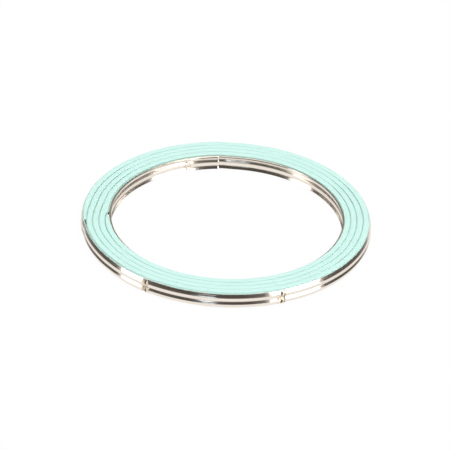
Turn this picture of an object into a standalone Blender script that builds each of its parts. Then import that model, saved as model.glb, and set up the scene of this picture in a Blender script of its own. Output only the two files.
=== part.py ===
# Spiral wound exhaust gasket, lying flat.
# One metal strip with a W section and one softer filler strip are wound together edge-on.
# Metres, +Z up. The bore's axis is Z, and the filler's lower rim lies on the plane z = 0.

import math

import bmesh
import bpy

# Metal strip
BORE_DIAMETER = 0.0602
STRIP_THICKNESS = 0.00025
EDGE_FLANK_HEIGHT = 0.00099
VALLEY_FLANK_HEIGHT = 0.00096
RIDGE_DEPTH = 0.00036
VALLEY_RISE = 0.00010

# Filler strip, which stands out past both edges of the metal
FILLER_THICKNESS = 0.0012
FILLER_STANDS_ABOVE = 0.0003
FILLER_STANDS_BELOW = 0.0001

# Room between a ply and its neighbour
PLY_CLEARANCE = 0.0001

# Winding, in degrees. The polar angle runs anticlockwise from +X, seen from above.
STRIP_START_ANGLE = 95.2
BARE_SWEEP_BEFORE_FILLER = 448.2
FILLER_SWEEP = 1443.6
BARE_SWEEP_AFTER_FILLER = 467.5
STRIP_STEP_SWEEP = 8.5
FILLER_STEP_SWEEP = 26.0
FACET_ANGLE = 9.0
SHORTEST_FACET_ANGLE = 0.05
SHARP_EDGE_ANGLE = 20.0

# Spot welds through two nested plies, as sweeps along the strip from its start and back from its end
INNER_WELD_SWEEP = 15.9
OUTER_WELD_SWEEPS_BACK = (1.5, 56.5)
WELD_HALF_SWEEP = 2.6
WELD_PRESSED_DEPTH = 0.00022

FILLER_START = BARE_SWEEP_BEFORE_FILLER
FILLER_END = FILLER_START + FILLER_SWEEP
STRIP_END = FILLER_END + BARE_SWEEP_AFTER_FILLER
STRIP_HEIGHT = 2.0 * (EDGE_FLANK_HEIGHT + VALLEY_FLANK_HEIGHT)
FILLER_HEIGHT = FILLER_STANDS_BELOW + STRIP_HEIGHT + FILLER_STANDS_ABOVE
MID_HEIGHT = FILLER_STANDS_BELOW + STRIP_HEIGHT / 2.0
TURN = 360.0


def clear_scene():
    for item in list(bpy.data.objects):
        bpy.data.objects.remove(item, do_unlink=True)


def smooth_step(value):
    # 0 below 0, 1 above 1, and an S curve between them
    value = min(max(value, 0.0), 1.0)
    return value * value * (3.0 - 2.0 * value)


def over_strip_end(sweep):
    # Share of one bare ply's height that a later ply has climbed at the strip's own first end
    return smooth_step((sweep + STRIP_STEP_SWEEP) / STRIP_STEP_SWEEP)


def over_filler(sweep):
    # Share of the filler's thickness that lies between two plies at this sweep
    rise = smooth_step((sweep - FILLER_START) / FILLER_STEP_SWEEP + 0.5)
    fall = smooth_step((sweep - FILLER_END) / FILLER_STEP_SWEEP + 0.5)
    return rise - fall


def strip_radius(sweep):
    # Inner face of the strip's edges: every earlier ply and filler turn below it adds its height
    radius = BORE_DIAMETER / 2.0
    below = sweep - TURN
    while below > -TURN:
        radius += (STRIP_THICKNESS + PLY_CLEARANCE) * over_strip_end(below)
        radius += (FILLER_THICKNESS + PLY_CLEARANCE) * over_filler(below)
        below -= TURN
    return radius


def weld_sweeps():
    # Each weld presses the two plies that it joins
    sweeps = [INNER_WELD_SWEEP, INNER_WELD_SWEEP + TURN]
    for back in OUTER_WELD_SWEEPS_BACK:
        sweeps += [STRIP_END - back - TURN, STRIP_END - back]
    return sweeps


def ridge_depth(sweep):
    # The ridges stand out by their full depth, except where a weld has pressed them in
    nearest = min(abs(sweep - weld) for weld in weld_sweeps())
    pressed = smooth_step(1.0 - nearest / WELD_HALF_SWEEP)
    return RIDGE_DEPTH - WELD_PRESSED_DEPTH * pressed


def w_profile(sweep):
    # Radial offset and height of the strip's inner face, from its lower edge to its upper edge
    ridge = ridge_depth(sweep)
    valley = VALLEY_RISE * ridge / RIDGE_DEPTH
    edge = VALLEY_FLANK_HEIGHT + EDGE_FLANK_HEIGHT
    return [
        (0.0, MID_HEIGHT - edge),
        (ridge, MID_HEIGHT - VALLEY_FLANK_HEIGHT),
        (valley, MID_HEIGHT),
        (ridge, MID_HEIGHT + VALLEY_FLANK_HEIGHT),
        (0.0, MID_HEIGHT + edge),
    ]


def strip_section(sweep):
    inner = strip_radius(sweep)
    face = [(inner + offset, height) for offset, height in w_profile(sweep)]
    back = [(radius + STRIP_THICKNESS, height) for radius, height in face]
    return back + face[::-1]


def filler_section(sweep):
    # The filler keeps a clearance from the ply it lies on and from the ply wound over it
    inner = strip_radius(sweep) + STRIP_THICKNESS + PLY_CLEARANCE
    outer = strip_radius(sweep + TURN) - PLY_CLEARANCE
    under = [(inner + offset, height) for offset, height in w_profile(sweep)]
    over = [(outer + offset, height) for offset, height in w_profile(sweep + TURN)]
    under = [(inner, 0.0)] + under + [(inner, FILLER_HEIGHT)]
    over = [(outer, 0.0)] + over + [(outer, FILLER_HEIGHT)]
    return over + under[::-1]


def polar_angle(sweep):
    return (STRIP_START_ANGLE + sweep) % TURN


def polar_stations():
    # All turns bend at the same polar angles, so that their flat facets nest
    sweeps = [0.0, FILLER_START, FILLER_END, STRIP_END]
    for weld in weld_sweeps():
        sweeps += [weld - WELD_HALF_SWEEP, weld, weld + WELD_HALF_SWEEP]
    marks = sorted({round(polar_angle(sweep), 6) for sweep in sweeps})
    stations = []
    for mark, following in zip(marks, marks[1:] + [marks[0] + TURN]):
        count = math.ceil((following - mark) / FACET_ANGLE)
        stations += [mark + (following - mark) * i / count for i in range(count)]
    return stations


def sweeps_between(start, end):
    # The sweeps from start to end at which a strip crosses a station, with both its ends
    sweeps = [start]
    turn = 0
    stations = sorted((station - STRIP_START_ANGLE) % TURN for station in polar_stations())
    while turn * TURN < end:
        for station in stations:
            sweep = station + turn * TURN
            if start + SHORTEST_FACET_ANGLE < sweep < end - SHORTEST_FACET_ANGLE:
                sweeps.append(sweep)
        turn += 1
    return sweeps + [end]


def build_wound_strip(name, section_at, start, end, material):
    # Carries a section along the spiral and closes it at both ends
    mesh_maker = bmesh.new()
    rings = []
    for sweep in sweeps_between(start, end):
        angle = math.radians(STRIP_START_ANGLE + sweep)
        ring = []
        for radius, height in section_at(sweep):
            point = (radius * math.cos(angle), radius * math.sin(angle), height)
            ring.append(mesh_maker.verts.new(point))
        rings.append(ring)
    for ring, following in zip(rings, rings[1:]):
        for i in range(len(ring)):
            j = (i + 1) % len(ring)
            mesh_maker.faces.new((ring[i], following[i], following[j], ring[j]))
    mesh_maker.faces.new(rings[0])
    mesh_maker.faces.new(rings[-1][::-1])
    bmesh.ops.recalc_face_normals(mesh_maker, faces=mesh_maker.faces)
    mesh = bpy.data.meshes.new(name)
    mesh_maker.to_mesh(mesh)
    mesh_maker.free()
    mesh.shade_smooth()
    mesh.set_sharp_from_angle(angle=math.radians(SHARP_EDGE_ANGLE))
    mesh.materials.append(material)
    strip = bpy.data.objects.new(name, mesh)
    bpy.context.collection.objects.link(strip)
    return strip


def make_material(name, colour, metallic, roughness):
    material = bpy.data.materials.new(name)
    material.use_nodes = True
    shader = material.node_tree.nodes["Principled BSDF"]
    shader.inputs["Base Color"].default_value = (*colour, 1.0)
    shader.inputs["Metallic"].default_value = metallic
    shader.inputs["Roughness"].default_value = roughness
    return material


def build_gasket():
    clear_scene()
    bright_steel = make_material("bright_steel", (0.62, 0.59, 0.55), 1.0, 0.18)
    green_coating = make_material("green_coating", (0.60, 0.88, 0.80), 0.0, 0.75)
    build_wound_strip("winding_strip", strip_section, 0.0, STRIP_END, bright_steel)
    build_wound_strip("filler_strip", filler_section, FILLER_START, FILLER_END, green_coating)


build_gasket()
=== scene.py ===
import math

import bpy
from mathutils import Matrix, Vector


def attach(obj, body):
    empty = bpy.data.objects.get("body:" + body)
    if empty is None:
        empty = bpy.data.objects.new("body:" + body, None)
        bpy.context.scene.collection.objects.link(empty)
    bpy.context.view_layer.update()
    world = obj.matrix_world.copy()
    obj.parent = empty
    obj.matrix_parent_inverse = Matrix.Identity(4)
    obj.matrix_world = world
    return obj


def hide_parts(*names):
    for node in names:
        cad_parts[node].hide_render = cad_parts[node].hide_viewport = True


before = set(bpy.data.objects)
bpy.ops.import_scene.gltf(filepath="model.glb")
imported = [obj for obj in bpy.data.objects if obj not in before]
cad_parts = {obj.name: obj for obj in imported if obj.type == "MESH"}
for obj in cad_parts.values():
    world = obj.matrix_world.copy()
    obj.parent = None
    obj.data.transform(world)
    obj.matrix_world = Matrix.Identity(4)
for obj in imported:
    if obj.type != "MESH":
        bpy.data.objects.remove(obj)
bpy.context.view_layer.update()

scene = bpy.context.scene
print("CAD loaded")


# Small helpers that keep the node trees below short
nodesPerColumn = 7
nodeSpacing = (190, -170)


def addNode(tree, kind, **settings):
    node = tree.nodes.new(kind)
    for name, value in settings.items():
        setattr(node, name, value)
    column, row = divmod(len(tree.nodes) - 1, nodesPerColumn)
    node.location = (nodeSpacing[0] * column, nodeSpacing[1] * row)
    return node


def plug(value, socket):
    # A wire is linked, anything else becomes the socket's own value
    if isinstance(value, Wire):
        socket.id_data.links.new(value.socket, socket)
    elif value is not None:
        socket.default_value = value


def mathNode(tree, operation, *values):
    node = addNode(tree, "ShaderNodeMath", operation=operation)
    for value, socket in zip(values, node.inputs):
        plug(value, socket)
    return Wire(node.outputs[0])


class Wire:
    # A node output that can stand in a formula. Each step of the formula becomes a Math node.
    def __init__(self, socket):
        self.socket = socket
        self.tree = socket.id_data

    def __add__(self, other):
        return mathNode(self.tree, "ADD", self, other)

    def __radd__(self, other):
        return mathNode(self.tree, "ADD", other, self)

    def __sub__(self, other):
        return mathNode(self.tree, "SUBTRACT", self, other)

    def __rsub__(self, other):
        return mathNode(self.tree, "SUBTRACT", other, self)

    def __mul__(self, other):
        return mathNode(self.tree, "MULTIPLY", self, other)

    def __rmul__(self, other):
        return mathNode(self.tree, "MULTIPLY", other, self)

    def __truediv__(self, other):
        return mathNode(self.tree, "DIVIDE", self, other)

    def __rtruediv__(self, other):
        return mathNode(self.tree, "DIVIDE", other, self)

    def __pow__(self, other):
        return mathNode(self.tree, "POWER", self, other)

    def __abs__(self):
        return mathNode(self.tree, "ABSOLUTE", self)

    def do(self, operation, *others):
        return mathNode(self.tree, operation, self, *others)


def mapRange(value, low, high, toLow=0.0, toHigh=1.0, smooth=True):
    kind = "SMOOTHSTEP" if smooth else "LINEAR"
    node = addNode(value.tree, "ShaderNodeMapRange", interpolation_type=kind, clamp=True)
    for part, socket in zip((value, low, high, toLow, toHigh), node.inputs):
        plug(part, socket)
    return Wire(node.outputs[0])


def blend(low, high, share):
    return low + (high - low) * share


def pick(source, keys):
    return {key: source[key] for key in keys}


def vectorOf(tree, x, y, z=0.0):
    node = addNode(tree, "ShaderNodeCombineXYZ")
    for value, socket in zip((x, y, z), node.inputs):
        plug(value, socket)
    return Wire(node.outputs[0])


def wordsOf(key):
    # fillerStart becomes Filler Start, the name of a group's socket
    return "".join(" " + letter if letter.isupper() else letter for letter in key).title()


socketKinds = {float: "NodeSocketFloat", int: "NodeSocketInt"}


def newGroup(name, treeKind, inputs, outputs):
    # inputs holds each input's key and first value or kind of socket, outputs each output's kind
    tree = bpy.data.node_groups.new(name, treeKind)
    for key, value in inputs.items():
        kind = value if isinstance(value, str) else socketKinds[type(value)]
        item = tree.interface.new_socket(wordsOf(key), in_out="INPUT", socket_type=kind)
        if not isinstance(value, str):
            item.default_value = value
    for key, kind in outputs.items():
        tree.interface.new_socket(wordsOf(key), in_out="OUTPUT", socket_type=kind)
    begin = addNode(tree, "NodeGroupInput")
    sockets = {key: Wire(begin.outputs[wordsOf(key)]) for key in inputs}
    return tree, sockets


def closeGroup(tree, **results):
    end = addNode(tree, "NodeGroupOutput")
    for key, value in results.items():
        plug(value, end.inputs[wordsOf(key)])
    return tree


def useGroup(tree, group, **values):
    kind = "GeometryNodeGroup" if tree.bl_idname == "GeometryNodeTree" else "ShaderNodeGroup"
    node = addNode(tree, kind, node_tree=group, label=group.name)
    for key, value in values.items():
        plug(value, node.inputs[wordsOf(key)])
    outputs = [Wire(socket) for socket in node.outputs]
    return outputs[0] if len(outputs) == 1 else outputs


# The winding law, which both strips follow. Sweeps are degrees along the spiral, counted from the
# strip's inner end, and the polar angle runs anticlockwise from +X.
fullTurn = 360.0
turnsWound = 7
winding = {
    "boreRadius": 0.0301,
    "startAngle": 95.2,
    "stripPitch": 0.0003,  # height that one bare ply adds to the turns over it
    "fillerPitch": 0.00135,  # height that one filler turn adds
    "fillerStart": 448.2,
    "fillerEnd": 1891.8,
    "stripStep": 8.5,  # sweep over which the strip climbs over its own first end
    "fillerStep": 26.0,  # sweep over which it climbs over either end of the filler
    "taperSweep": 3.0,  # the step down off the filler's end lies this far before it
    "pinch": 0.0002,  # the strip pulls its last filler turn thin where it comes off the filler's end
    "pinchSweep": 20.0,  # how far past that end the pinch lies
    "pinchNear": 10.0,  # it is full this far to each side
    "pinchFar": 30.0,  # and gone this far
    "pocketSweep": 6.0,  # length of the pocket that stays open beside either end of the filler
    "wander": 0.00003,  # small uneven bulges that all turns share
    "lift": 0.00002,  # unevenness of the edges' height
    "seed": 5.0,
}
turnKeys = ("stripPitch", "fillerPitch", "fillerStart", "fillerEnd", "stripStep", "fillerStep",
            "taperSweep", "pinch", "pinchSweep", "pinchNear", "pinchFar")
lawKeys = ("boreRadius", *turnKeys, "pocketSweep")
rollKeys = ("startAngle", "wander", "lift", "seed")


def fillerSteps(part, below):
    # How far the plies have stepped up onto the filler and down off it again, each from 0 to 1
    halfStep = part["fillerStep"] * 0.5
    thinned = part["fillerEnd"] - part["taperSweep"]
    rise = mapRange(below, part["fillerStart"] - halfStep, part["fillerStart"] + halfStep)
    fall = mapRange(below, thinned - halfStep, thinned + halfStep)
    return rise, fall


def makeTurnGroup():
    # Height that one earlier turn has added below a point of the spiral
    tree, part = newGroup("earlierTurn", "GeometryNodeTree", {"below": 0.0, **pick(winding, turnKeys)},
                          {"added": "NodeSocketFloat"})
    overStrip = mapRange(part["below"], 0.0 - part["stripStep"], 0.0)
    rise, fall = fillerSteps(part, part["below"])
    fromPinch = abs(part["below"] - (part["fillerEnd"] + part["pinchSweep"] - fullTurn))
    pinched = (1.0 - mapRange(fromPinch, part["pinchNear"], part["pinchFar"])) * part["pinch"]
    added = overStrip * part["stripPitch"] + (rise - fall) * part["fillerPitch"] - pinched
    return closeGroup(tree, added=added)


def makePlyGroup(earlierTurn):
    # Inner face of the strip at a sweep: the bore plus what every earlier turn adds
    tree, part = newGroup("plyRadius", "GeometryNodeTree", {"sweep": 0.0, **pick(winding, lawKeys)},
                          {"radius": "NodeSocketFloat"})
    below = part["sweep"] - fullTurn
    rise, fall = fillerSteps(part, below)
    before = rise * (1.0 - mapRange(below, part["fillerStart"] - part["pocketSweep"], part["fillerStart"]))
    after = (1.0 - fall) * mapRange(below, part["fillerEnd"], part["fillerEnd"] + part["pocketSweep"])
    radius = part["boreRadius"] - (before + after) * part["fillerPitch"]
    for earlier in range(1, turnsWound):
        sweep = part["sweep"] - fullTurn * earlier
        radius = radius + useGroup(tree, earlierTurn, below=sweep, **pick(part, turnKeys))
    return closeGroup(tree, radius=radius)


def makeRollGroup():
    # Puts a point of the unrolled strip at its place in the ring
    bulgesRound, bulgesOutward, wavesPerDegree = 2.4, 120.0, 0.05
    noiseGain = 4.0  # because the noise strays by about a quarter from its middle
    inputs = {"sweep": 0.0, "radius": 0.0, "height": 0.0, **pick(winding, rollKeys)}
    tree, part = newGroup("rollUp", "GeometryNodeTree", inputs, {"place": "NodeSocketVector"})
    angle = (part["sweep"] + part["startAngle"]).do("RADIANS")
    bulge = addNode(tree, "ShaderNodeTexNoise")
    spot = vectorOf(tree, angle.do("COSINE") * bulgesRound, angle.do("SINE") * bulgesRound,
                    part["radius"] * bulgesOutward + part["seed"])
    plug(spot, bulge.inputs["Vector"])
    bulge.inputs["Scale"].default_value = 1.0
    radius = part["radius"] + (Wire(bulge.outputs["Fac"]) - 0.5) * part["wander"] * noiseGain
    wave = addNode(tree, "ShaderNodeTexNoise", noise_dimensions="1D")
    plug(part["sweep"] * wavesPerDegree + part["seed"], wave.inputs["W"])
    wave.inputs["Scale"].default_value = 1.0
    height = part["height"] + (Wire(wave.outputs["Fac"]) - 0.5) * part["lift"] * noiseGain
    place = vectorOf(tree, radius * angle.do("COSINE"), radius * angle.do("SINE"), height)
    return closeGroup(tree, place=place)


walkKeys = ("stepsAround", "rimSteps", "rimRound", "rimSquareness")


def makeWalkGroup():
    # Walks round a strip's section: up its outer side, over the rim and down its inner side
    rimTurn = 1.48  # radians, just short of a right angle
    inputs = dict.fromkeys(("around", "halfHeight", *walkKeys), 0.0)
    tree, part = newGroup("sectionWalk", "GeometryNodeTree", inputs,
                          {"side": "NodeSocketFloat", "height": "NodeSocketFloat"})
    half = part["stepsAround"] * 0.5
    down = part["around"].do("GREATER_THAN", half - 0.5)
    climb = part["around"] + down * (part["stepsAround"] - 1.0 - part["around"] * 2.0)
    middle = (half - 1.0) * 0.5
    fromMiddle = climb - middle
    reach = middle - part["rimSteps"]
    straight = (fromMiddle / reach).do("MAXIMUM", -1.0).do("MINIMUM", 1.0)
    turn = mapRange(abs(fromMiddle) - reach, 0.0, part["rimSteps"], 0.0, rimTurn, smooth=False)
    rise = fromMiddle.do("SIGN") * turn.do("SINE") * part["rimRound"]
    height = straight * (part["halfHeight"] - part["rimRound"]) + rise
    side = (1.0 - down * 2.0) * turn.do("COSINE") ** part["rimSquareness"]
    return closeGroup(tree, side=side, height=height)


# Metal strip with a W section. Heights are counted from the valley between its two ridges.
windingStrip = {
    "thickness": 0.00025,
    "stripEnd": 2359.3,
    "ridgeDepth": 0.00042,
    "ridgeHeight": 0.00096,
    "outerRidgeHeight": 0.00093,
    "valleyRise": 0.00012,
    "outerValleyRise": 0.00009,
    "middle": 0.00208,  # height of the valley over the table, at the bore
    "outerMiddle": 0.00195,
    "outward": (300.0, 1700.0),  # sweeps over which the outer values take over
    "edgeAbove": 0.00206,
    "bareEdgeAbove": 0.00178,  # the bare plies at the bore are a little narrower
    "fullWidth": (810.0, 850.0),
    "edgeBelow": 0.0019,
    "curlHeight": 0.00038,  # near its inner end the strip's upper edge leans away from the bore
    "curlDepth": 0.00017,
    "curlEnds": (8.0, 25.0),
    "curlAgain": (300.0, 325.0),  # and so does the next ply where it passes over that end
    "curlEndsAgain": (380.0, 400.0),
    "ridgeSoftness": 0.00004,
    "boreSoftness": 0.00022,  # the bends are rounder on the innermost ply
    "crisper": (380.0, 420.0),
    "valleySoftness": 0.00005,
    "rimSteps": 3.0,
    "rimRound": 0.00007,
    "rimSquareness": 0.6,
    "cutSweep": 0.6,  # the shears round both ends over this sweep
    "cutThickness": 0.3,  # share of its thickness that is left there
    "pressSweep": 1.3,
    "pressedDepth": 0.15,  # share of the ridges' depth that a weld takes
    "dimpleRadius": 0.00042,
    "dimpleDepth": 0.00003,
    "heatReach": 0.0038,
    "innerWeldShare": 0.45,  # the welds at the bore are fainter than the outer ones
    "fullWelds": (400.0, 500.0),
    "scorchWidth": 0.00034,  # dark mark of the electrode over each weld
    "scorchHeight": 0.0009,
    "scorchRise": 0.00035,
    "sprayed": (700.0, 730.0),  # the plies beyond this sweep caught some of the coating's overspray
    "innerFine": 25.0,  # finely divided stretches at the two ends, where the welds show
    "outerFine": 66.0,
    "stepsAround": 54,
    "welds": (15.9, 375.9, 1942.8, 1997.8, 2302.8, 2357.8),
    "fineStep": 0.4,
    "plainStep": 1.6,
}
shapeKeys = ("ridgeHeight", "outerRidgeHeight", "valleyRise", "outerValleyRise", "middle", "outerMiddle",
             "edgeAbove", "bareEdgeAbove")
bendKeys = ("edgeBelow", "ridgeDepth", "ridgeSoftness", "valleySoftness")
weldKeys = ("pressSweep", "dimpleRadius", "heatReach", "innerWeldShare", "scorchWidth", "scorchHeight",
            "scorchRise")
flowRadius = 0.034  # the ring's mean radius, which makes lengths of sweeps for the finishes
rimBand = 0.001  # nearRim grows from 0 to this towards the strip's upper edge


def makeShapeGroup():
    # How the W section changes from the bore to the rim
    outputs = dict.fromkeys(("ridge", "valley", "level", "top"), "NodeSocketFloat")
    tree, part = newGroup("stripShape", "GeometryNodeTree", {"sweep": 0.0, **pick(windingStrip, shapeKeys)},
                          outputs)
    outward = mapRange(part["sweep"], *windingStrip["outward"])
    wound = mapRange(part["sweep"], *windingStrip["fullWidth"])
    return closeGroup(
        tree,
        ridge=blend(part["ridgeHeight"], part["outerRidgeHeight"], outward),
        valley=blend(part["valleyRise"], part["outerValleyRise"], outward),
        level=blend(part["middle"], part["outerMiddle"], outward),
        top=blend(part["bareEdgeAbove"], part["edgeAbove"], wound),
    )


def makeBendGroup():
    # Radial offset of the W section at a height above or below its valley
    inputs = dict.fromkeys(("height", "ridgeHeight", "valleyRise", "top", *bendKeys), 0.0)
    tree, part = newGroup("wBend", "GeometryNodeTree", inputs, {"offset": "NodeSocketFloat"})
    edge = blend(part["edgeBelow"], part["top"], part["height"].do("GREATER_THAN", 0.0))
    fromValley = (part["height"] ** 2.0 + part["valleySoftness"] ** 2.0).do("SQRT")
    away = fromValley.do("MINIMUM", edge) - part["ridgeHeight"]
    outside = away.do("GREATER_THAN", 0.0)
    reach = blend(part["ridgeHeight"], edge - part["ridgeHeight"], outside)
    drop = part["ridgeDepth"] - (1.0 - outside) * part["valleyRise"]
    soft = part["ridgeSoftness"] ** 2.0
    now = (away * away + soft).do("SQRT") - part["ridgeSoftness"]
    full = (reach * reach + soft).do("SQRT") - part["ridgeSoftness"]
    return closeGroup(tree, offset=part["ridgeDepth"] - drop * now / full)


def makeWeldGroup():
    # How near a point of the strip is to a pair of spot welds, one on each ridge
    lipFrom, lipTop, lipTo = 0.7, 1.1, 1.6  # raised lip round a dimple, in parts of its radius
    lipHeight = 0.35  # and of its depth
    heatRise = 0.3  # the heat reaches further across the strip than along it
    leastHeat = 0.7  # even a faint weld leaves this share of it
    scorchCore = 0.3  # share of the dark mark that is full
    inputs = dict.fromkeys(("sweep", "height", "radius", "ridgeHeight", *weldKeys), 0.0)
    outputs = dict.fromkeys(("press", "dimple", "heat", "scorch"), "NodeSocketFloat")
    tree, part = newGroup("spotWelds", "GeometryNodeTree", inputs, outputs)
    nearest = abs(part["sweep"] - windingStrip["welds"][0])
    for weld in windingStrip["welds"][1:]:
        nearest = nearest.do("MINIMUM", abs(part["sweep"] - weld))
    along = nearest.do("RADIANS") * part["radius"]
    fromRidge = abs(part["height"]) - part["ridgeHeight"]
    spot = (along * along + fromRidge * fromRidge).do("SQRT") / part["dimpleRadius"]
    hollow = 1.0 - mapRange(spot, 0.0, 1.0)
    lip = mapRange(spot, lipFrom, lipTop) * (1.0 - mapRange(spot, lipTop, lipTo))
    press = 1.0 - mapRange(nearest, 0.0, part["pressSweep"])
    fromWeld = (along * along + part["height"] ** 2.0 * heatRise).do("SQRT")
    heat = 1.0 - mapRange(fromWeld, 0.0, part["heatReach"])
    across = along / part["scorchWidth"]
    up = (fromRidge - part["scorchRise"]) / part["scorchHeight"]
    scorch = 1.0 - mapRange((across * across + up * up).do("SQRT"), scorchCore, 1.0)
    share = blend(part["innerWeldShare"], 1.0, mapRange(part["sweep"], *windingStrip["fullWelds"]))
    return closeGroup(tree, press=press * share, dimple=(hollow - lip * lipHeight) * share,
                      heat=heat * blend(leastHeat, 1.0, share), scorch=scorch * share ** 2.0)


def startPiece(name, values):
    # A tube whose points are counted round the section and along the strip
    inputs = {"geometry": "NodeSocketGeometry", **values, "finish": "NodeSocketMaterial"}
    tree, part = newGroup(name, "GeometryNodeTree", inputs, {"geometry": "NodeSocketGeometry"})
    tube = addNode(tree, "GeometryNodeMeshCylinder", fill_type="NGON")
    plug(part["stepsAround"], tube.inputs["Vertices"])
    plug(part["stepsAlong"], tube.inputs["Side Segments"])
    index = Wire(addNode(tree, "GeometryNodeInputIndex").outputs[0])
    along = ((index + 0.5) / part["stepsAround"]).do("FLOOR")
    return tree, part, tube, along, index - along * part["stepsAround"]


def finishPiece(tree, part, tube, place, flow, **kept):
    # Moves the tube's points into the ring, keeps where each lies along the strip, and closes the tree
    move = addNode(tree, "GeometryNodeSetPosition")
    plug(Wire(tube.outputs["Mesh"]), move.inputs["Geometry"])
    plug(place, move.inputs["Position"])
    onPoints = addNode(tree, "GeometryNodeFieldOnDomain", data_type="FLOAT_VECTOR", domain="POINT")
    plug(flow, onPoints.inputs[0])
    last = addNode(tree, "GeometryNodeStoreNamedAttribute", data_type="FLOAT2", domain="CORNER")
    last.inputs["Name"].default_value = "stripMap"
    plug(Wire(onPoints.outputs[0]), last.inputs["Value"])
    plug(Wire(move.outputs[0]), last.inputs["Geometry"])
    for name, value in kept.items():
        more = addNode(tree, "GeometryNodeStoreNamedAttribute", data_type="FLOAT", domain="POINT")
        more.inputs["Name"].default_value = name
        plug(value, more.inputs["Value"])
        plug(Wire(last.outputs[0]), more.inputs["Geometry"])
        last = more
    real = addNode(tree, "GeometryNodeRealizeInstances")
    plug(Wire(last.outputs[0]), real.inputs[0])
    dress = addNode(tree, "GeometryNodeSetMaterial")
    plug(Wire(real.outputs[0]), dress.inputs["Geometry"])
    plug(part["finish"], dress.inputs["Material"])
    return closeGroup(tree, geometry=Wire(dress.outputs[0]))


def singleValues(sizes):
    # The sizes that can be inputs of a piece's tree, without the ranges and the division
    return {key: value for key, value in sizes.items()
            if not isinstance(value, tuple) and key not in ("fineStep", "plainStep")}


def makeStripTree(values, plyRadius, rollUp, walk, shape, wBend, spotWelds):
    tree, part, tube, along, around = startPiece("woundStrip", values)
    # Short steps at both ends, longer ones between
    outerStart = part["stepsAlong"] - part["outerSteps"]
    between = part["stripEnd"] - part["innerFine"] - part["outerFine"]
    sweep = mapRange(along, 0.0, part["innerSteps"], 0.0, part["innerFine"], smooth=False)
    sweep = sweep + mapRange(along, part["innerSteps"], outerStart, 0.0, between, smooth=False)
    sweep = sweep + mapRange(along, outerStart, part["stepsAlong"], 0.0, part["outerFine"], smooth=False)
    ridge, valley, level, top = useGroup(tree, shape, sweep=sweep, **pick(part, shapeKeys))
    side, climb = useGroup(tree, walk, around=around, halfHeight=(top + part["edgeBelow"]) * 0.5,
                           **pick(part, walkKeys))
    height = climb + (top - part["edgeBelow"]) * 0.5
    inner = useGroup(tree, plyRadius, sweep=sweep, **pick(part, lawKeys))
    press, dimple, heat, scorch = useGroup(tree, spotWelds, sweep=sweep, height=height, radius=inner,
                                           ridgeHeight=ridge, **pick(part, weldKeys))
    left = 1.0 - press * part["pressedDepth"]
    soft = blend(part["boreSoftness"], part["ridgeSoftness"], mapRange(sweep, *windingStrip["crisper"]))
    again = mapRange(sweep, *windingStrip["curlAgain"])
    again = again * (1.0 - mapRange(sweep, *windingStrip["curlEndsAgain"]))
    curled = (1.0 - mapRange(sweep, *windingStrip["curlEnds"])) + again
    curlFrom = top - part["curlHeight"] * curled
    bend = useGroup(tree, wBend, height=height, ridgeDepth=part["ridgeDepth"] * left, ridgeHeight=ridge,
                    valleyRise=valley * left, top=curlFrom, edgeBelow=part["edgeBelow"], ridgeSoftness=soft,
                    valleySoftness=part["valleySoftness"])
    bend = bend + (height - curlFrom).do("MAXIMUM", 0.0) / part["curlHeight"] * part["curlDepth"] * curled
    fromEnd = sweep.do("MINIMUM", part["stripEnd"] - sweep)
    cut = mapRange(fromEnd, 0.0, part["cutSweep"], part["cutThickness"], 1.0)
    radius = inner + bend - dimple * part["dimpleDepth"] + part["thickness"] * 0.5 * (side * cut + 1.0)
    place = useGroup(tree, rollUp, sweep=sweep, radius=radius, height=height + level,
                     **pick(part, rollKeys))
    flow = vectorOf(tree, sweep.do("RADIANS") * flowRadius, height - side * part["thickness"] * 0.5)
    # Painted shade: a mask over the last stretch of the strip, where the material darkens its cut end
    sheared = 1.0 - mapRange(part["stripEnd"] - sweep, 0.0, part["cutSweep"])
    nearRim = (rimBand - top + height) * mapRange(sweep, *windingStrip["sprayed"])
    return finishPiece(tree, part, tube, place, flow, weldHeat=heat, weldScorch=scorch, shearedEnd=sheared,
                       nearRim=nearRim)


# Coated filler strip, which fills the room between the strip's turns and stands out past its edges
fillerStrip = {
    "clearance": 0.00002,
    "midHeight": 0.00215,
    "halfHeight": 0.00215,
    "rimSpread": 0.0001,  # how far the crushed rim spreads over the strip's edge on each side
    "spreadRange": (0.00002, 0.00014),  # heights past the strip's edge between which it spreads
    "openAngle": 177.0,  # round this polar angle and the opposite one the grooves stay open
    "openRange": (0.75, 0.96),  # cosines of the angle to it between which they open
    "openShare": 0.0,  # share of the spread that is left there
    "rimSteps": 5.0,
    "rimRound": 0.00012,
    "rimSquareness": 0.3,
    "stepsAround": 44,
    "plainStep": 1.4,
}


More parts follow.
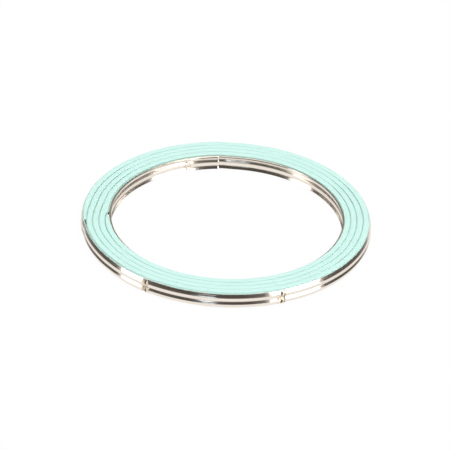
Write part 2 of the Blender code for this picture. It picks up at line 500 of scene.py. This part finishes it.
def makeFillerTree(values, plyRadius, rollUp, walk, shape, wBend):
    tree, part, tube, along, around = startPiece("woundFiller", values)
    sweep = mapRange(along, 0.0, part["stepsAlong"], part["fillerStart"], part["fillerEnd"], smooth=False)
    side, climb = useGroup(tree, walk, around=around, **pick(part, ("halfHeight", *walkKeys)))
    # Each side takes the form of the ply that lies against it
    beside = sweep + side.do("GREATER_THAN", 0.0) * fullTurn
    ridge, valley, level, top = useGroup(tree, shape, sweep=beside, **pick(part, shapeKeys))
    height = climb + part["midHeight"] - level
    bend = useGroup(tree, wBend, height=height, ridgeHeight=ridge, valleyRise=valley, top=top,
                    **pick(part, bendKeys))
    law = pick(part, lawKeys)
    under = useGroup(tree, plyRadius, sweep=sweep, **law) + part["thickness"] + part["clearance"]
    over = useGroup(tree, plyRadius, sweep=sweep + fullTurn, **law) - part["clearance"]
    pastEdge = (height - top).do("MAXIMUM", 0.0 - height - part["edgeBelow"])
    facing = abs((sweep + part["startAngle"] - part["openAngle"]).do("RADIANS").do("COSINE"))
    spread = mapRange(pastEdge, *fillerStrip["spreadRange"]) * part["rimSpread"]
    spread = spread * blend(1.0, part["openShare"], mapRange(facing, *fillerStrip["openRange"]))
    radius = (under + over) * 0.5 + bend + side * ((over - under) * 0.5 + spread)
    place = useGroup(tree, rollUp, sweep=sweep, radius=radius, height=climb + part["midHeight"], lift=0.0,
                     **pick(part, ("startAngle", "wander", "seed")))
    flow = vectorOf(tree, sweep.do("RADIANS") * flowRadius, climb - side * (over - under) * 0.5)
    return finishPiece(tree, part, tube, place, flow)


sharpAngle = 50.0


def growPiece(name, tree, values, material):
    # Runs the tree on an empty mesh and keeps the plain mesh that comes out
    seedling = bpy.data.objects.new(name + "Tree", bpy.data.meshes.new(name + "Tree"))
    scene.collection.objects.link(seedling)
    modifier = seedling.modifiers.new("winding", "NODES")
    modifier.node_group = tree
    given = {wordsOf(key): value for key, value in {**values, "finish": material}.items()}
    for item in tree.interface.items_tree:
        if item.item_type == "SOCKET" and item.in_out == "INPUT" and item.name in given:
            modifier[item.identifier] = given[item.name]
    seen = seedling.evaluated_get(bpy.context.evaluated_depsgraph_get())
    mesh = bpy.data.meshes.new_from_object(seen)
    mesh.name = name
    # Empty slots go, so that the piece has its one material
    for slot in reversed(range(len(mesh.materials))):
        if mesh.materials[slot] is None:
            mesh.materials.pop(index=slot)
    seedling.modifiers.clear()
    bpy.data.objects.remove(seedling)
    piece = bpy.data.objects.new(name, mesh)
    scene.collection.objects.link(piece)
    mesh.shade_smooth()
    mesh.set_sharp_from_angle(angle=math.radians(sharpAngle))
    print(name, len(mesh.vertices), "points", len(mesh.polygons), "faces")
    return piece


# Effects that both finishes use
noiseRange = (0.3, 0.7)  # where nearly all of a noise lies


def makeGrainGroup():
    # Fine lines that run along a strip, and blotches that don't follow it
    inputs = {"flow": "NodeSocketVector", "place": "NodeSocketVector", "lineLength": 0.01,
              "lineWidth": 0.0003, "blotchSize": 0.003}
    outputs = {"lines": "NodeSocketFloat", "blotches": "NodeSocketFloat"}
    tree, part = newGroup("grain", "ShaderNodeTree", inputs, outputs)
    split = addNode(tree, "ShaderNodeSeparateXYZ")
    plug(part["flow"], split.inputs[0])
    lines = addNode(tree, "ShaderNodeTexNoise")
    lines.inputs["Scale"].default_value = 1.0
    lines.inputs["Detail"].default_value = 2.0
    alongStrip, acrossStrip = Wire(split.outputs[0]), Wire(split.outputs[1])
    stretched = vectorOf(tree, alongStrip / part["lineLength"], acrossStrip / part["lineWidth"])
    plug(stretched, lines.inputs["Vector"])
    blotches = addNode(tree, "ShaderNodeTexNoise")
    blotches.inputs["Detail"].default_value = 3.0
    plug(part["place"], blotches.inputs["Vector"])
    plug(1.0 / part["blotchSize"], blotches.inputs["Scale"])
    return closeGroup(tree, lines=mapRange(Wire(lines.outputs["Fac"]), *noiseRange),
                      blotches=mapRange(Wire(blotches.outputs["Fac"]), *noiseRange))


def makeSpeckGroup():
    # Scattered small marks, as a mask
    markEdge = (0.15, 0.45)  # distances from a cell's middle between which its mark fades out
    inputs = {"place": "NodeSocketVector", "size": 0.0005, "amount": 0.1}
    tree, part = newGroup("specks", "ShaderNodeTree", inputs, {"marks": "NodeSocketFloat"})
    cells = addNode(tree, "ShaderNodeTexVoronoi")
    plug(part["place"], cells.inputs["Vector"])
    plug(1.0 / part["size"], cells.inputs["Scale"])
    chance = addNode(tree, "ShaderNodeSeparateColor")
    plug(Wire(cells.outputs["Color"]), chance.inputs[0])
    kept = Wire(chance.outputs[0]).do("LESS_THAN", part["amount"])
    return closeGroup(tree, marks=kept * (1.0 - mapRange(Wire(cells.outputs["Distance"]), *markEdge)))


def mixColour(tree, share, first, second):
    # The Mix node's colour sockets are inputs 6 and 7 and output 2
    node = addNode(tree, "ShaderNodeMix", data_type="RGBA")
    for value, socket in zip((share, first, second), (node.inputs[0], node.inputs[6], node.inputs[7])):
        plug((*value, 1.0) if isinstance(value, tuple) else value, socket)
    return Wire(node.outputs[2])


def attributeOf(tree, name, output="Fac"):
    return Wire(addNode(tree, "ShaderNodeAttribute", attribute_name=name).outputs[output])


def startFinish(name, roughness=None):
    material = bpy.data.materials.new(name)
    material.use_nodes = True
    tree = material.node_tree
    skin = tree.nodes["Principled BSDF"]
    plug(roughness, skin.inputs["Roughness"])
    flow = attributeOf(tree, "stripMap", "Vector")
    place = Wire(addNode(tree, "ShaderNodeTexCoord").outputs["Object"])
    return material, tree, skin, flow, place


def bumpNormal(tree, height, distance, normal=None):
    node = addNode(tree, "ShaderNodeBump")
    node.inputs["Distance"].default_value = distance
    plug(height, node.inputs["Height"])
    plug(normal, node.inputs["Normal"])
    return Wire(node.outputs[0])


brightSteel = {
    "colour": (0.885, 0.815, 0.74),
    "lineColour": (0.815, 0.735, 0.65),
    "tanColour": (0.74, 0.54, 0.32),
    # this dark colour is real soot at the welds and also painted shade along the strip's cut end
    "sootAndShadeColour": (0.09, 0.06, 0.04),
    "sprayColour": (0.50, 0.74, 0.67),
    "roughness": (0.11, 0.18),
    "coveredRoughness": 0.65,  # where soot, tarnish, overspray or the painted shade at the cut end covers the metal
    "lineLength": 0.012,
    "lineWidth": 0.00022,
    "lineDepth": 0.000003,
    "waveSize": 0.0045,
    "waveDepth": 0.000012,
    "waveShare": 0.6,  # of the roughness, the rest follows the lines
    "patchScale": 1900.0,  # fine noise that makes the edges of all marks ragged
    # For each mark how ragged its edge is, where it begins and where it is full
    "tarnishEdge": (1.6, 0.75, 1.05),
    # painted shade: the strip's cut end is painted dark, standing in for the shadow and dark reflection
    # along it
    "cutShadeEdge": (0.6, 0.2, 0.5),
    "scorchEdge": (0.8, 0.2, 0.5),
    "tarnishShare": 0.8,
    "spatterSize": 0.00045,
    "spatterAmount": 0.4,
    "spatterHeat": (0.5, 0.85),  # heat of the weld between which spatter and pits come in
    "pittedHeat": (0.5, 0.9),
    "pitDepth": 0.00003,
    "sprayReach": 0.00009,  # the coating's overspray ends this far below the upper edge
    "sprayRagged": 0.0003,
}


def ragged(mask, patches, strength, low, high):
    # Cuts a mask off between low and high along an uneven line
    return mapRange(mask + (patches - 0.5) * strength, low, high)


def makeSteel(grain, specks):
    material, tree, skin, flow, place = startFinish("brightStrip")
    lines, waves = useGroup(tree, grain, flow=flow, place=place, lineLength=brightSteel["lineLength"],
                            lineWidth=brightSteel["lineWidth"], blotchSize=brightSteel["waveSize"])
    marks = useGroup(tree, specks, place=place, size=brightSteel["spatterSize"],
                     amount=brightSteel["spatterAmount"])
    patchy = addNode(tree, "ShaderNodeTexNoise")
    plug(place, patchy.inputs["Vector"])
    patchy.inputs["Scale"].default_value = brightSteel["patchScale"]
    patchy.inputs["Detail"].default_value = 2.0
    patches = Wire(patchy.outputs["Fac"])
    # The cut end's mask brings painted shade; heat, scorch and the rim band bring real marks
    heat, scorch, sheared, nearRim = (
        attributeOf(tree, name) for name in ("weldHeat", "weldScorch", "shearedEnd", "nearRim"))
    tarnish = ragged(heat, patches, *brightSteel["tarnishEdge"]) * brightSteel["tarnishShare"]
    spatter = marks * mapRange(heat, *brightSteel["spatterHeat"])
    # Soot of the spatter and scorch marks, plus painted shade at the strip's cut end
    sootAndShade = spatter.do("MAXIMUM", ragged(sheared, patches, *brightSteel["cutShadeEdge"]))
    sootAndShade = sootAndShade.do("MAXIMUM", ragged(scorch, patches, *brightSteel["scorchEdge"]))
    sprayEnd = rimBand - brightSteel["sprayReach"]
    sprayed = ragged(nearRim, patches, brightSteel["sprayRagged"], sprayEnd, rimBand)
    colour = mixColour(tree, lines, brightSteel["lineColour"], brightSteel["colour"])
    colour = mixColour(tree, tarnish, colour, brightSteel["tanColour"])
    colour = mixColour(tree, sootAndShade, colour, brightSteel["sootAndShadeColour"])
    plug(mixColour(tree, sprayed, colour, brightSteel["sprayColour"]), skin.inputs["Base Color"])
    covered = tarnish.do("MAXIMUM", sootAndShade).do("MAXIMUM", sprayed)
    plug(1.0 - covered, skin.inputs["Metallic"])
    smoothest, roughest = brightSteel["roughness"]
    waveShare = brightSteel["waveShare"]
    bare = blend(smoothest, roughest, waves * waveShare + lines * (1.0 - waveShare))
    plug(blend(bare, brightSteel["coveredRoughness"], covered), skin.inputs["Roughness"])
    normal = bumpNormal(tree, lines, brightSteel["lineDepth"])
    normal = bumpNormal(tree, waves, brightSteel["waveDepth"], normal)
    pits = patches * mapRange(heat, *brightSteel["pittedHeat"])
    normal = bumpNormal(tree, pits, brightSteel["pitDepth"], normal)
    plug(normal, skin.inputs["Normal"])
    return material


mintCoating = {
    "colour": (0.645, 0.93, 0.87),
    "lineColour": (0.61, 0.905, 0.84),
    "fleckColour": (0.42, 0.66, 0.60),
    "roughness": 0.75,
    "lineLength": 0.009,
    "lineWidth": 0.00034,
    "lineDepth": 0.000015,
    "lineShare": 0.6,  # of the change in colour, the rest follows the blotches
    "blotchSize": 0.0022,
    "fleckSize": 0.0006,
    "fleckAmount": 0.035,
    "fleckShare": 0.5,
    "relief": (0.7, 0.3, -0.4),  # how much lines, blotches and flecks stand out
}


def makeCoating(grain, specks):
    material, tree, skin, flow, place = startFinish("mintCoating", mintCoating["roughness"])
    lines, blotches = useGroup(tree, grain, flow=flow, place=place, lineLength=mintCoating["lineLength"],
                               lineWidth=mintCoating["lineWidth"], blotchSize=mintCoating["blotchSize"])
    flecks = useGroup(tree, specks, place=place, size=mintCoating["fleckSize"],
                      amount=mintCoating["fleckAmount"])
    lineShare = mintCoating["lineShare"]
    share = lines * lineShare + blotches * (1.0 - lineShare)
    colour = mixColour(tree, share, mintCoating["lineColour"], mintCoating["colour"])
    colour = mixColour(tree, flecks * mintCoating["fleckShare"], colour, mintCoating["fleckColour"])
    plug(colour, skin.inputs["Base Color"])
    lineRelief, blotchRelief, fleckRelief = mintCoating["relief"]
    relief = lines * lineRelief + blotches * blotchRelief + flecks * fleckRelief
    plug(bumpNormal(tree, relief, mintCoating["lineDepth"]), skin.inputs["Normal"])
    return material


grain, specks = makeGrainGroup(), makeSpeckGroup()
steel = makeSteel(grain, specks)
coating = makeCoating(grain, specks)
print("finishes made")

sharedGroups = (makePlyGroup(makeTurnGroup()), makeRollGroup(), makeWalkGroup(), makeShapeGroup(),
                makeBendGroup())
innerSteps = round(windingStrip["innerFine"] / windingStrip["fineStep"])
outerSteps = round(windingStrip["outerFine"] / windingStrip["fineStep"])
between = windingStrip["stripEnd"] - windingStrip["innerFine"] - windingStrip["outerFine"]
stripValues = {**winding, **singleValues(windingStrip), "innerSteps": innerSteps, "outerSteps": outerSteps,
               "stepsAlong": innerSteps + outerSteps + round(between / windingStrip["plainStep"])}
stripTree = makeStripTree(stripValues, *sharedGroups, makeWeldGroup())
strip = growPiece("bright_strip", stripTree, stripValues, steel)

fillerSweep = winding["fillerEnd"] - winding["fillerStart"]
fillerValues = {**pick(winding, (*lawKeys, "startAngle", "wander", "seed")),
                **pick(windingStrip, ("thickness", *shapeKeys, *bendKeys)), **singleValues(fillerStrip),
                "stepsAlong": round(fillerSweep / fillerStrip["plainStep"])}
filler = growPiece("mint_filler", makeFillerTree(fillerValues, *sharedGroups), fillerValues, coating)

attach(strip, "root")
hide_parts("winding_strip")
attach(filler, "root")
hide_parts("filler_strip")
print("strips wound")


# White table that the metal sees as polished where it looks at it edge-on
paleTable = {
    "size": 6.0,
    "drop": 0.00003,  # keeps it clear of the ring's underside
    "colour": (0.93, 0.93, 0.93),
    "roughness": 0.9,
    "specular": 0.1,
    "glow": 0.96,  # share of plain white for the camera, the rest keeps the ring's shadow
    "polish": 0.98,
    "polishFrom": (0.6, 0.8),
    "polishRoughness": 0.07,
}


def mixShader(tree, share, first, second):
    node = addNode(tree, "ShaderNodeMixShader")
    for value, socket in zip((share, first, second), node.inputs):
        plug(value, socket)
    return Wire(node.outputs[0])


def makeTable():
    half = paleTable["size"] / 2
    corners = [(x * half, y * half, -paleTable["drop"]) for x, y in ((-1, -1), (1, -1), (1, 1), (-1, 1))]
    mesh = bpy.data.meshes.new("table")
    mesh.from_pydata(corners, [], [(0, 1, 2, 3)])
    table = bpy.data.objects.new("table", mesh)
    scene.collection.objects.link(table)
    material = bpy.data.materials.new("paleTable")
    material.use_nodes = True
    tree = material.node_tree
    skin = tree.nodes["Principled BSDF"]
    skin.inputs["Base Color"].default_value = (*paleTable["colour"], 1.0)
    skin.inputs["Roughness"].default_value = paleTable["roughness"]
    skin.inputs["Specular IOR Level"].default_value = paleTable["specular"]
    path = addNode(tree, "ShaderNodeLightPath")
    camera = Wire(path.outputs["Is Camera Ray"])
    mirrored = Wire(path.outputs["Is Glossy Ray"]).do("MAXIMUM", Wire(path.outputs["Is Transmission Ray"]))
    glow = addNode(tree, "ShaderNodeEmission")
    polish = addNode(tree, "ShaderNodeBsdfGlossy")
    polish.inputs["Roughness"].default_value = paleTable["polishRoughness"]
    facing = Wire(addNode(tree, "ShaderNodeLayerWeight").outputs["Facing"])
    edgeOn = mapRange(facing, *paleTable["polishFrom"], 0.0, paleTable["polish"])
    bright = mixShader(tree, edgeOn * mirrored, Wire(glow.outputs[0]), Wire(polish.outputs[0]))
    seen = mixShader(tree, camera * paleTable["glow"] + mirrored, Wire(skin.outputs[0]), bright)
    plug(seen, tree.nodes["Material Output"].inputs["Surface"])
    mesh.materials.append(material)


# Dim room, white to the camera alone. Its ranges are the Y or Z of a direction in it.
white = (1.0, 1.0, 1.0)
room = {
    "front": 0.085,
    "back": 0.12,
    "backFrom": (-0.3, 0.6),
    "horizon": 0.07,  # added low over the table in front
    "horizonEnds": (-0.8, 0.2),
    "horizonTop": (0.02, 0.09),
    "colour": (1.0, 0.93, 0.85),
    "screenAzimuth": 83.0,  # the white backdrop behind the ring, as the metal sees it
    "screenSpread": 33.0,
    "screenSideBlur": 0.06,  # softness of its sides and its top, in radians
    "screenTop": 24.0,
    "screenTopBlur": 0.08,
    "screenLevel": 0.9,
}


def makeWorld():
    world = bpy.data.worlds.new("studioRoom")
    scene.world = world
    world.use_nodes = True
    tree = world.node_tree
    backdrop = tree.nodes["Background"]
    parts = addNode(tree, "ShaderNodeSeparateXYZ")
    plug(Wire(addNode(tree, "ShaderNodeTexCoord").outputs["Generated"]), parts.inputs[0])
    x, y, z = (Wire(parts.outputs[axis]) for axis in "XYZ")
    inFront = 1.0 - mapRange(y, *room["horizonEnds"])
    level = blend(room["front"], room["back"], mapRange(y, *room["backFrom"]))
    level = level + inFront * (1.0 - mapRange(abs(z), *room["horizonTop"])) * room["horizon"]
    turn, spread, top = (math.radians(room[key]) for key in ("screenAzimuth", "screenSpread", "screenTop"))
    # A little over 1, so that nothing is divided by zero straight up
    towards = (x * math.cos(turn) + y * math.sin(turn)) / (1.0001 - z * z).do("SQRT")
    blur = room["screenSideBlur"]
    screen = mapRange(towards, math.cos(spread + blur), math.cos(spread - blur))
    screen = screen * (1.0 - mapRange(z, math.sin(top), math.sin(top + room["screenTopBlur"])))
    level = blend(level, room["screenLevel"], screen)
    seen = Wire(addNode(tree, "ShaderNodeLightPath").outputs["Is Camera Ray"])
    plug(blend(level, 1.0, seen), backdrop.inputs["Strength"])
    plug(mixColour(tree, seen, room["colour"], white), backdrop.inputs["Color"])


# Softboxes, given by the directions that they fill as seen from the ring
softboxes = {
    "leftSoftbox": {"azimuth": 196.4, "low": 0.4, "high": 32.0, "spread": 20.7, "distance": 1.5,
                    "level": 3.2, "colour": white},
    "rightSoftbox": {"azimuth": 325.0, "low": 1.4, "high": 32.0, "spread": 41.5, "distance": 1.5,
                     "level": 3.2, "colour": white},
    "topSoftbox": {"azimuth": 270.0, "low": 62.0, "high": 118.0, "spread": 60.0, "distance": 1.5,
                   "level": 2.75, "colour": white},
    "farWindow": {"azimuth": 258.0, "low": 1.5, "high": 4.8, "spread": 10.5, "distance": 1.2,
                  "level": 3.6, "colour": (0.75, 0.88, 1.0)},
}


def makeSoftbox(name, box):
    turn, tilt = math.radians(box["azimuth"]), math.radians((box["low"] + box["high"]) / 2)
    towards = Vector((math.cos(turn) * math.cos(tilt), math.sin(turn) * math.cos(tilt), math.sin(tilt)))
    place = towards * box["distance"]
    lamp = bpy.data.lights.new(name, "AREA")
    lamp.shape = "RECTANGLE"
    lamp.size = 2 * box["distance"] * math.tan(math.radians(box["spread"] / 2))
    lamp.size_y = 2 * box["distance"] * math.tan(math.radians((box["high"] - box["low"]) / 2))
    lamp.energy = box["level"] * math.pi * lamp.size * lamp.size_y  # level 1 looks white in the strip
    lamp.color = box["colour"]
    softbox = bpy.data.objects.new(name, lamp)
    softbox.location = place
    softbox.rotation_euler = place.to_track_quat("Z", "Y").to_euler()
    softbox.visible_camera = False
    scene.collection.objects.link(softbox)


# The photograph's view: 32 degrees above the table through a long lens
view = {
    "elevation": 31.87,
    "roll": 2.34,
    "distance": 1.299,
    "lens": 399.2,
    "sensor": 36.0,
    "nearest": 0.05,
    "farthest": 50.0,
    "aimHeight": 0.0043,
    "aimRight": -0.00050,
    "aimUp": -0.00246,
}


def makeCamera():
    rise, roll = math.radians(view["elevation"]), math.radians(view["roll"])
    forward = Vector((0.0, math.cos(rise), -math.sin(rise)))
    levelUp = Vector((0.0, math.sin(rise), math.cos(rise)))
    levelRight = Vector((1.0, 0.0, 0.0))
    right = levelRight * math.cos(roll) + levelUp * math.sin(roll)
    up = levelUp * math.cos(roll) - levelRight * math.sin(roll)
    aim = Vector((0.0, 0.0, view["aimHeight"])) + right * view["aimRight"] + up * view["aimUp"]
    data = bpy.data.cameras.new("camera")
    data.lens = view["lens"]
    data.sensor_width = view["sensor"]
    data.clip_start = view["nearest"]
    data.clip_end = view["farthest"]
    camera = bpy.data.objects.new("camera", data)
    turn = Matrix((right, up, -forward)).transposed()
    camera.matrix_world = Matrix.Translation(aim - forward * view["distance"]) @ turn.to_4x4()
    scene.collection.objects.link(camera)
    scene.camera = camera


makeTable()
makeWorld()
for name, box in softboxes.items():
    makeSoftbox(name, box)
makeCamera()
scene.view_settings.view_transform = "Standard"
print("studio lit")
